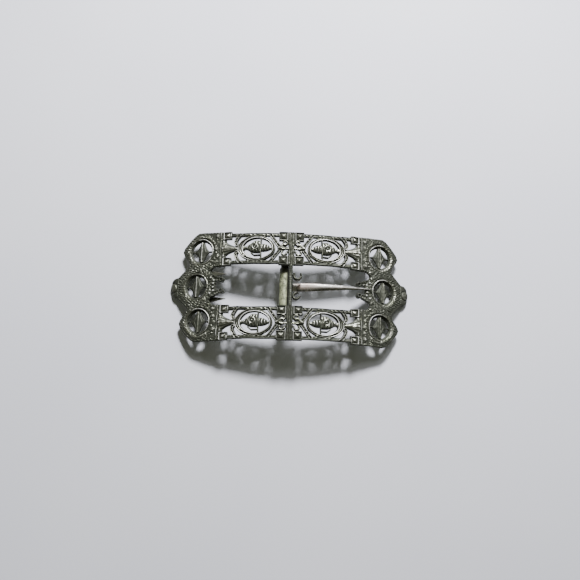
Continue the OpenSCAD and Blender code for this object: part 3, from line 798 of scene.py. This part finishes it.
tongue = {
    "root": 0.3, "reach": 29.4, "thickness": 1.1, "arch": 1.2, "skew": 0.6, "shift": 0.15,
    "rimHeight": 0.6, "tipGap": 0.1, "saddleRings": 60, "seat": 0.02,
    # place along the blade, half width
    "half": [(0.3, 1.30), (2.5, 1.45), (5.5, 1.45), (8.5, 1.42), (12.5, 1.20), (16, 0.98), (19.5, 0.76),
             (23, 0.55), (25, 0.44), (27, 0.32), (28.3, 0.24), (29.4, 0.12)],
    # one side of its section, as shares of half width and of depth, with the corners eased
    "section": [(-0.9, 0), (-0.45, 0), (0, 0), (0.45, 0), (0.9, 0), (0.97, 0.03), (1, 0.1), (1, 0.28),
                (0.985, 0.42), (0.94, 0.49), (0.8, 0.58), (0.6, 0.69), (0.4, 0.80), (0.2, 0.91),
                (0.08, 0.975), (0, 0.99)],
    # the two rings at the root: place, length, and how far they stand out
    "knuckles": [(1.0, 0.24, 0.1), (1.9, 0.22, 0.1)],
    "saddleWall": 0.65, "saddleHalf": 1.3, "saddleFrom": 50, "saddleTo": -70,
}


def askew(points):
    # Turns the tongue a little about the rib's foot and moves it off the middle line.
    turn = math.radians(tongue["skew"])
    x, y, z = points.T
    return np.stack([x * math.cos(turn) - y * math.sin(turn),
                     x * math.sin(turn) + y * math.cos(turn) + tongue["shift"], z], -1)


def bladeParts():
    # A roof-shaped section carried along an arch, 4t(1 - t) high, and drawn down to a point.
    x = np.concatenate([np.linspace(tongue["root"], 3.2, 40), np.linspace(3.3, tongue["reach"], 130)])
    t = (x - x[0]) / (tongue["reach"] - x[0])
    rootLow = hinge["z"] - 0.36
    onPlate = bow["middle"] + math.sqrt(bow["radius"] ** 2 - tongue["reach"] ** 2)
    tipLow = onPlate + tongue["rimHeight"] + tongue["tipGap"]
    low = rootLow + (tipLow - rootLow) * t + 4 * tongue["arch"] * t * (1 - t)
    half = np.interp(x, *zip(*tongue["half"]))
    deep = tongue["thickness"] * np.where(x < 20, 1, 1 - 0.055 * (x - 20))
    knuckle = sum(proud * np.exp(-((x - at) / length) ** 2) for at, length, proud in tongue["knuckles"])
    section = tongue["section"] + [(-a, b) for a, b in tongue["section"][:4:-1][1:]]
    wide, high = np.array(section).T
    worn = 0.012 * np.sin(x * 2.3) + 0.01 * np.sin(x * 5.9 + 1)
    rings = np.stack([np.broadcast_to(x[:, None], (len(x), len(wide))),
                      (half + 0.5 * knuckle)[:, None] * wide + worn[:, None] * (wide > 0.5),
                      low[:, None] + (deep + knuckle)[:, None] * high], -1)
    points, faces = closedLoft(rings)
    return askew(points), faces, np.concatenate([np.tile(wide, len(x)), [0, 0]])


def saddleParts():
    # A rounded strip carried along an arc over the sleeve; both its ends are eased down by a quarter circle.
    count = tongue["saddleRings"]
    angles = np.radians(np.linspace(tongue["saddleFrom"], tongue["saddleTo"], count))
    inner = hinge["sleeveRadius"] + tongue["seat"]
    outer = inner + tongue["saddleWall"]
    half = tongue["saddleHalf"]
    side = [(inner, 0), (inner, half / 2), (inner, half - 0.05), (inner + 0.06, half), (outer - 0.15, half),
            (outer - 0.04, half - 0.1), (outer, half - 0.25), (outer, half / 2), (outer + 0.02, 0)]
    radius, across = np.array(side + [(r, -p) for r, p in side[-2:0:-1]]).T
    ease = unit(lowest(np.arange(count), np.arange(count)[::-1]) / 4)
    ease = np.sqrt(1 - (1 - ease) ** 2)
    radius = inner + (radius - inner)[None, :] * (0.55 + 0.45 * ease)[:, None]
    rings = np.stack([hinge["x"] + radius * np.cos(angles)[:, None],
                      np.broadcast_to(across + tongue["shift"], radius.shape),
                      hinge["z"] + radius * np.sin(angles)[:, None]], -1)
    points, faces = closedLoft(rings)
    return points, faces, np.concatenate([np.tile(across / half, count), [0, 0]])


def buildTongue():
    # Blade and saddle in one mesh; the attribute across runs from -1 at one edge to 1 at the other.
    blade, bladeFaces, bladeShares = bladeParts()
    saddle, saddleFaces, saddleShares = saddleParts()
    points = np.concatenate([blade, saddle])
    faces = np.concatenate([bladeFaces, saddleFaces + len(blade)])
    across = np.concatenate([bladeShares, saddleShares])
    return meshFromArrays("tongue_blade", points, faces, [("across", across)])


prongs = {"sheet": 0.6, "gap": 0.05, "step": 0.1, "edgeRound": 0.1, "outlineReach": 0.2, "fromX": -29.7,
          "toX": -22.5, "halfY": 6.0,
          "outline": [(29.4, 5.7), (28.2, 5.7), (22.8, 4.55), (28.2, 3.7), (28.2, -1), (29.4, -1)]}


def buildProngs():
    # Sheet cut in one piece and bent with the bow: a strip behind the end plate with two teeth, by the
    # distance to one half of its outline, used above and below.
    step = prongs["step"]
    xs = np.arange(prongs["fromX"], prongs["toX"], step)
    ys = np.arange(-prongs["halfY"], prongs["halfY"] + step / 2, step)
    gx, gy = np.meshgrid(xs, ys)
    mask = polygon(-gx, np.abs(gy), prongs["outline"]) + 0.03 * wander(gx, gy, 1.2, 31)
    triangles, *_, sheet = cutSheet(xs, ys, mask)
    dropped = quarterRound(sheet["depth"], prongs["edgeRound"])
    front = -bow["plate"] - prongs["gap"] - dropped
    back = front - prongs["sheet"] + 2 * dropped
    zero = np.zeros(len(front))
    edgeNearness = unit(1 - sheet["depth"] / prongs["outlineReach"])
    attributes = [("rim", edgeNearness, edgeNearness), ("backSide", zero, zero + 1)]
    return sheetPiece("prong_strip", sheet, triangles, front, back, attributes)


# Materials. Effects shared by several of them are node groups that only put out masks and heights.
class Wire:
    # A node's output that can be reckoned with like a number: each sign adds one Math node.
    def __init__(self, graph, socket):
        self.graph = graph
        self.socket = socket

    def __add__(self, other):
        return self.graph.math("ADD", self, other)

    def __sub__(self, other):
        return self.graph.math("SUBTRACT", self, other)

    def __mul__(self, other):
        return self.graph.math("MULTIPLY", self, other)

    def __abs__(self):
        return self.graph.math("ABSOLUTE", self)


class Graph:
    # Adds nodes to a tree from left to right. An input is named by its socket, or by i and its number.
    def __init__(self, tree):
        self.tree = tree
        self.count = 0

    def feed(self, socket, value):
        # Joins a wire to the socket, or sets a plain value on the socket itself.
        if isinstance(value, Wire):
            self.tree.links.new(value.socket, socket)
        else:
            socket.default_value = value

    def add(self, kind, settings=(), **inputs):
        node = self.tree.nodes.new(kind)
        node.location = (220 * self.count, -60 * (self.count % 5))
        self.count += 1
        for key, value in dict(settings).items():
            setattr(node, key, value)
        for key, value in inputs.items():
            self.feed(node.inputs[int(key[1:]) if key[1:].isdigit() else key], value)
        return node

    def wire(self, kind, output=0, settings=(), **inputs):
        return Wire(self, self.add(kind, settings, **inputs).outputs[output])

    def math(self, operation, a, b=0.0):
        return self.wire("ShaderNodeMath", 0, {"operation": operation}, i0=a, i1=b)

    def mix(self, share, a, b):
        return self.wire("ShaderNodeMix", 2, {"data_type": "RGBA"}, i0=share, i6=a, i7=b)

    def spread(self, value, low, high, first=0.0, last=1.0):
        # A smooth step from first to last while the value goes from low to high.
        smooth = {"interpolation_type": "SMOOTHSTEP"}
        return self.wire("ShaderNodeMapRange", 0, smooth, i0=value, i1=low, i2=high, i3=first, i4=last)

    def noise(self, place, scale, detail=3.0, roughness=0.55):
        return self.wire("ShaderNodeTexNoise", Vector=place, Scale=scale, Detail=detail, Roughness=roughness)

    def attribute(self, name):
        return self.wire("ShaderNodeAttribute", "Fac", {"attribute_name": name})

    def group(self, tree, **inputs):
        # Places a node group with its own values, and gives its outputs by name.
        node = self.add("ShaderNodeGroup", {"node_tree": tree})
        for key, value in inputs.items():
            self.feed(node.inputs[key.capitalize()], value)
        return {output.name: Wire(self, output) for output in node.outputs}


def nodeGroup(name, inputs, outputs):
    # An input is a number with its first value, or a place where that is None; each output is a number.
    tree = bpy.data.node_groups.new(name, "ShaderNodeTree")
    for label, value in inputs.items():
        kind = "NodeSocketVector" if value is None else "NodeSocketFloat"
        socket = tree.interface.new_socket(label, in_out="INPUT", socket_type=kind)
        if value is not None:
            socket.default_value = value
    for label in outputs:
        tree.interface.new_socket(label, in_out="OUTPUT", socket_type="NodeSocketFloat")
    graph = Graph(tree)
    start = graph.add("NodeGroupInput")
    given = {label: Wire(graph, start.outputs[label]) for label in inputs}
    return graph, given, graph.add("NodeGroupOutput").inputs


def makeTarnishAndShadeGroup():
    # Dark sulphide lies thick in the hollows, thin and blotched on the open metal, and is rubbed off the
    # high places;
    # the darkening along the cut edges is painted shade of the side walls. Each mask is a weighted sum of
    # those four.
    inputs = {"Place": None, "Relief": 0.0, "Rim": 0.0, "Grime": 0.0, "Amount": 0.5}
    graph, given, wanted = nodeGroup("tarnish_and_shade", inputs, ["Dark", "Bright", "Blotch"])
    blotch = graph.noise(given["Place"], 260.0, 4.0, 0.6)
    speck = graph.noise(given["Place"], 1900.0, 3.0, 0.6)
    uneven = blotch * 0.75 + speck * 0.25
    sunk = graph.spread(given["Relief"], 0.25, -0.35)
    # the edge mask adds painted shade along the outline; the dirt mask adds dirt, and painted shadow on the
    # rib's top
    dark = sunk * 0.85 + uneven * given["Amount"] + given["Grime"] * 0.42 + given["Rim"] * 0.75
    rubbed = given["Relief"] - given["Rim"] * 0.5 + (uneven - 0.5) * 0.8 - given["Grime"] * 0.4
    graph.feed(wanted["Dark"], graph.spread(dark, 0.2, 0.9))
    graph.feed(wanted["Bright"], graph.spread(rubbed, 0.3, 0.9))
    graph.feed(wanted["Blotch"], blotch)
    return graph.tree


def makeGrainGroup():
    # Fine cast or drawn texture as a height: noise, less scratches, which are noise stretched one way.
    inputs = {"Place": None, "Size": 1500.0, "Scratches": 0.3}
    graph, given, wanted = nodeGroup("grain", inputs, ["Height"])
    coarse = graph.noise(given["Place"], given["Size"], 4.0, 0.6)
    stretched = graph.wire("ShaderNodeMapping", Vector=given["Place"], Scale=(1.0, 14.0, 6.0),
                           Rotation=(0.0, 0.0, 0.25))
    scratch = graph.spread(graph.noise(stretched, 500.0, 2.0, 0.5), 0.56, 0.66)
    graph.feed(wanted["Height"], coarse - scratch * given["Scratches"])
    return graph.tree


tarnishAndShadeGroup = makeTarnishAndShadeGroup()
grainGroup = makeGrainGroup()


def newMaterial(name):
    # A material, its graph, and the place of a point on the object.
    material = bpy.data.materials.new(name)
    material.use_nodes = True
    graph = Graph(material.node_tree)
    return material, graph, graph.wire("ShaderNodeTexCoord", "Object")


def dress(graph, colour, rough, metal, height, depth, strength=1.0):
    # Joins what changes over the surface to the shader; the height drives a bump of this depth in metres.
    shader = graph.tree.nodes["Principled BSDF"]
    normal = graph.wire("ShaderNodeBump", Height=height, Distance=depth, Strength=strength)
    values = {"Base Color": colour, "Roughness": rough, "Metallic": metal, "Normal": normal}
    for socket, value in values.items():
        graph.feed(shader.inputs[socket], value)
    return shader


def grainHeight(graph, place, finish):
    # The grain group's height, with the finish's own size and scratches.
    grain = graph.group(grainGroup, place=place, size=finish["grain"], scratches=finish["scratches"])
    return grain["Height"]


silver = {"bare": (0.32, 0.325, 0.275, 1), "worn": (0.86, 0.86, 0.82, 1), "olive": (0.15, 0.16, 0.11, 1),
          "sulphideAndShade": (0.030, 0.033, 0.023, 1), "grain": 2200.0, "scratches": 0.2, "bump": 0.00003}


def castSilver():
    # Bare silver with an olive film in blotches, bright where it is rubbed, and black where sulphide lies
    # and, along the outlines and on the rib's top, as painted shade.
    material, graph, place = newMaterial("oxidised cast silver with painted shade")
    tarnish_and_shade = graph.group(tarnishAndShadeGroup, place=place, relief=graph.attribute("relief"),
                          rim=graph.attribute("rim"), grime=graph.attribute("grime"), amount=0.5)
    grain = grainHeight(graph, place, silver)
    dark = tarnish_and_shade["Dark"]
    bright = tarnish_and_shade["Bright"]
    film = graph.mix(graph.spread(tarnish_and_shade["Blotch"], 0.38, 0.68), silver["bare"], silver["olive"])
    colour = graph.mix(dark, graph.mix(bright, film, silver["worn"]), silver["sulphideAndShade"])
    colour = graph.mix(graph.attribute("backSide") * 0.55, colour, silver["olive"])
    rough = graph.spread(dark, 0.0, 1.0, 0.22, 0.5) + grain * 0.12 + bright * 0.15
    metal = graph.spread(dark, 0.3, 1.0, 1.0, 0.55) - bright * 0.45
    height = grain * graph.spread(bright, 0.0, 0.7, 1.0, 0.3)
    dress(graph, colour, rough, metal, height, silver["bump"])
    return material


# The film tones are painted shade on the blade's top, and edge is a painted shadow line along its lower
# edge.
plating = {
    "bright": (0.84, 0.83, 0.79, 1), "blotched": (0.56, 0.55, 0.50, 1), "film": (0.15, 0.147, 0.137, 1),
    "copper": (0.46, 0.34, 0.275, 1), "shadedCopper": (0.22, 0.155, 0.125, 1), "edge": (0.06, 0.057, 0.045, 1),
    "knuckle": (0.50, 0.48, 0.42, 1), "groove": (0.055, 0.055, 0.042, 1), "dull": (0.34, 0.32, 0.27, 1),
    "grain": 1400.0, "scratches": 0.6, "bump": 0.00002,
}


def tongueSilver():
    # Smoother than the casting and rubbed bright by the belt; the silvering is worn to copper near the root.
    # A painted shade grey lies below a bright upper edge, which widens towards the tip, and the lower edge
    # carries a painted dark shadow line.
    material, graph, place = newMaterial("rubbed tongue silver with painted shade")
    grain = grainHeight(graph, place, plating)
    x = graph.wire("ShaderNodeSeparateXYZ", "X", Vector=place)
    across = graph.attribute("across")
    blotch = graph.noise(place, 420.0, 4.0, 0.6)
    copper = graph.spread(x, 0.014, 0.003) * graph.spread(blotch, 0.28, 0.55)
    colour = graph.mix(graph.spread(blotch, 0.3, 0.75), plating["bright"], plating["blotched"])
    # painted shade: a grey band on the blade's top below its bright upper edge, widest at the root
    rising = across + x * 26.0 - blotch * 0.3
    paintedShadeBand = graph.spread(rising, 0.72, 0.46) * graph.spread(across, -0.12, 0.06)
    copperTone = graph.mix(paintedShadeBand, plating["copper"], plating["shadedCopper"])
    colour = graph.mix(paintedShadeBand * 0.9, colour, plating["film"])
    colour = graph.mix(copper * 0.8, colour, copperTone)
    # painted shadow: a dark line along the blade's lower edge
    colour = graph.mix(graph.spread(across - blotch * 0.5, -0.6, -0.92, 0.0, 0.92), colour, plating["edge"])
    # the knuckle at the root has a dark outline, bent like a crook
    wavy = x + blotch * 0.0005
    crook = graph.spread(abs(across - 0.5), 0.34, 0.16)
    outlined = graph.math("MAXIMUM", crook, graph.spread(abs(wavy - 0.0018), 0.0005, 0.0008))
    knuckle = graph.mix(outlined, plating["knuckle"], plating["groove"])
    colour = graph.mix(graph.spread(wavy, 0.0030, 0.0026, 0.0, 0.9), colour, knuckle)
    dulled = graph.spread(graph.noise(place, 900.0), 0.48, 0.66)
    colour = graph.mix(dulled * 0.7, colour, plating["dull"])
    rough = grain * 0.2 + 0.24 + paintedShadeBand * 0.25 + copper * 0.1
    metal = graph.spread(copper, 0.0, 1.0, 1.0, 0.8) - paintedShadeBand * 0.7
    dress(graph, colour, rough, metal, grain, plating["bump"])
    return material


brass = {"pale": (0.33, 0.35, 0.22, 1), "brown": (0.10, 0.115, 0.065, 1), "speck": (0.06, 0.055, 0.04, 1),
         "dark": (0.05, 0.05, 0.04, 1), "grain": 1100.0, "scratches": 0.5, "bump": 0.00003}


def wornBrass():
    # Pale worn brass with dark specks, painted dark at both ends and beside the rib as the shadow of the
    # bars and the rib.
    material, graph, place = newMaterial("worn sleeve brass with painted shadow")
    grain = grainHeight(graph, place, brass)
    x = graph.wire("ShaderNodeSeparateXYZ", "X", Vector=place)
    y = graph.wire("ShaderNodeSeparateXYZ", "Y", Vector=place)
    blotch = graph.noise(place, 520.0, 4.0, 0.7)
    speck = graph.spread(graph.noise(place, 1300.0, 2.0, 0.5), 0.57, 0.66)
    colour = graph.mix(graph.spread(blotch, 0.36, 0.66), brass["pale"], brass["brown"])
    colour = graph.mix(speck * 0.85, colour, brass["speck"])
    # painted shadow: the upper bar's over the top end, the lower bar's over the bottom end, and the rib's
    # beside it
    barShadowAtEnds = graph.math("MAXIMUM", graph.spread(y, 0.0048, 0.0056, 0.0, 0.9),
                        graph.spread(y, -0.0064, -0.0070, 0.0, 0.8))
    paintedShadow = graph.math("MAXIMUM", barShadowAtEnds, graph.spread(x, -0.0014, -0.0010, 0.0, 0.93))
    colour = graph.mix(paintedShadow, colour, brass["dark"])
    metal = graph.spread(speck, 0.0, 1.0, 0.45, 0.1)
    dress(graph, colour, blotch * 0.25 + 0.42, metal, grain, brass["bump"])
    return material


# The prong sheet's low and high tones are near black as painted shade of its unlit teeth.
# rough: how much the grain adds to the roughness, and the roughness it is added to
sheetIron = {"name": "dark prong sheet", "grain": 1500.0, "scratches": 0.7, "blotches": 500.0, "metal": 0.6,
             "rough": (0.2, 0.42), "low": (0.020, 0.021, 0.015, 1), "high": (0.085, 0.088, 0.062, 1),
             "edge": (0.16, 0.155, 0.13, 1), "bump": 0.00002}
rodSteel = {"name": "grey hinge steel", "grain": 900.0, "scratches": 0.9, "blotches": 600.0, "metal": 1.0,
            "rough": (0.25, 0.3), "low": (0.20, 0.19, 0.17, 1), "high": (0.42, 0.40, 0.37, 1),
            "bump": 0.00002}


def blotchedMetal(finish):
    # Two tones mixed by noise, with paler edges where the finish names them.
    material, graph, place = newMaterial(finish["name"])
    grain = grainHeight(graph, place, finish)
    colour = graph.mix(graph.noise(place, finish["blotches"], 4.0, 0.6), finish["low"], finish["high"])
    if "edge" in finish:
        colour = graph.mix(graph.attribute("rim") * 0.5, colour, finish["edge"])
    added, least = finish["rough"]
    dress(graph, colour, grain * added + least, finish["metal"], grain, finish["bump"])
    return material


paper = {"shade": (0.600, 0.612, 0.672, 1), "light": (0.640, 0.650, 0.700, 1),
         "fibre": (0.80, 0.81, 0.84, 1), "rough": 0.85, "gloss": 0.2, "bump": 0.00004, "bumpStrength": 0.6}


def paperGround():
    # Pale paper: wide clouds of two tones, with fine fibres over them.
    material, graph, place = newMaterial("pale paper")
    fibre = graph.noise(place, 2600.0, 5.0, 0.65)
    cloud = graph.noise(place, 9.0, 2.0, 0.5)
    colour = graph.mix(graph.spread(cloud, 0.3, 0.7), paper["shade"], paper["light"])
    colour = graph.mix(fibre * 0.10, colour, paper["fibre"])
    shader = dress(graph, colour, paper["rough"], 0.0, fibre, paper["bump"], paper["bumpStrength"])
    shader.inputs["Specular IOR Level"].default_value = paper["gloss"]
    return material


def finishPiece(piece, material, body, node):
    # Gives a piece its material and the body it rides on, and hides the solid it stands for.
    piece.data.materials.append(material)
    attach(piece, body)
    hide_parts(node)


print("stage 1: casting")
castMaterial = castSilver()
for piece in buildCasting():
    finishPiece(piece, castMaterial, "frame", "frame")
for side in (1, -1):
    finishPiece(buildLug(side), castMaterial, "frame", "frame")

print("stage 2: hinge, tongue and prongs")
finishPiece(buildHingeBar(), blotchedMetal(rodSteel), "frame", "hinge_bar")
finishPiece(buildSleeve(), wornBrass(), "tongue", "hinge_sleeve")
finishPiece(buildTongue(), tongueSilver(), "tongue", "tongue")
finishPiece(buildProngs(), blotchedMetal(sheetIron), "frame", "prong_plate")

print("stage 3: ground, light and camera")
studio = {
    "groundHalf": 1.5, "sky": 0.13, "skyColour": (0.97, 1.0, 0.74, 1), "lampColour": (0.975, 0.972, 1.0),
    "wallColour": (0.40, 0.41, 0.44, 1),
    # each lamp: height and turn in degrees, distance and width in metres, power
    "lamps": {"key": (43.5, 8.0, 0.46, 0.085, 6.15), "panel": (42.0, 24.0, 0.5, 0.32, 1.1)},
    "elevation": 74.39, "azimuth": 4.08, "roll": 5.90, "distance": 0.2576, "focal": 44.75,
    "target": (0.00002, -0.00023, 0.00561),
}


def buildGround():
    # One wide square of paper on the table's height.
    half = studio["groundHalf"]
    corners = np.array([(-half, -half, 0), (half, -half, 0), (half, half, 0), (-half, half, 0)]) / mm
    ground = meshFromArrays("ground", corners, np.array([[0, 1, 2, 3]]))
    ground.data.materials.append(paperGround())


def aim(direction, up):
    # The right, upper and forward axes of what looks along a direction, by two cross products with up.
    forward = np.array(direction) / np.linalg.norm(direction)
    right = np.cross(forward, up)
    right /= np.linalg.norm(right)
    above = np.cross(right, forward)
    return right, above, forward


def stand(name, data, axes, place):
    # Puts a lamp or a camera into the scene, turned by its three axes.
    right, above, forward = axes
    target = bpy.data.objects.new(name, data)
    bpy.context.scene.collection.objects.link(target)
    rows = [[right[k], above[k], -forward[k], place[k]] for k in range(3)]
    target.matrix_world = Matrix(rows + [[0, 0, 0, 1]])
    return target


def buildLamps():
    # A small lamp throws the shadow; a wide soft one beside it gives the metal something pale to reflect.
    for name, (height, turn, away, width, power) in studio["lamps"].items():
        rise = math.radians(height)
        side = math.radians(turn)
        toLamp = np.array([math.sin(side) * math.cos(rise), math.cos(side) * math.cos(rise), math.sin(rise)])
        lamp = bpy.data.lights.new(name, "AREA")
        lamp.shape = "DISK"
        lamp.size = width
        lamp.energy = power
        lamp.color = studio["lampColour"]
        stand(name, lamp, aim(-toLamp, (0, 0, 1)), toLamp * away)


def buildRoom():
    # The metal mirrors a dim greenish room, and the wall seen behind it in low views is plain and pale.
    world = bpy.data.worlds.new("studio")
    bpy.context.scene.world = world
    world.use_nodes = True
    graph = Graph(world.node_tree)
    room = world.node_tree.nodes["Background"]
    room.inputs["Color"].default_value = studio["skyColour"]
    room.inputs["Strength"].default_value = studio["sky"]
    wall = graph.wire("ShaderNodeBackground", Color=studio["wallColour"], Strength=1.0)
    seen = graph.wire("ShaderNodeLightPath", "Is Camera Ray")
    both = graph.wire("ShaderNodeMixShader", i0=seen, i1=Wire(graph, room.outputs[0]), i2=wall)
    graph.feed(world.node_tree.nodes["World Output"].inputs["Surface"], both)


def buildCamera():
    # Placed by turn and height round the buckle, then rolled about its own line of sight.
    rise = math.radians(studio["elevation"])
    turn = math.radians(studio["azimuth"])
    roll = math.radians(studio["roll"])
    away = np.array([-math.sin(turn) * math.cos(rise), -math.cos(turn) * math.cos(rise), math.sin(rise)])
    place = np.array(studio["target"]) + studio["distance"] * away
    right, above, forward = aim(-away, (0, 0, 1))
    rolledRight = right * math.cos(roll) + above * math.sin(roll)
    rolledUp = -right * math.sin(roll) + above * math.cos(roll)
    camera = bpy.data.cameras.new("camera")
    camera.lens = studio["focal"]
    camera.sensor_width = 36.0
    camera.clip_start = 0.01
    camera.clip_end = 20.0
    bpy.context.scene.camera = stand("camera", camera, (rolledRight, rolledUp, forward), place)


buildGround()
buildLamps()
buildRoom()
buildCamera()

print("done")
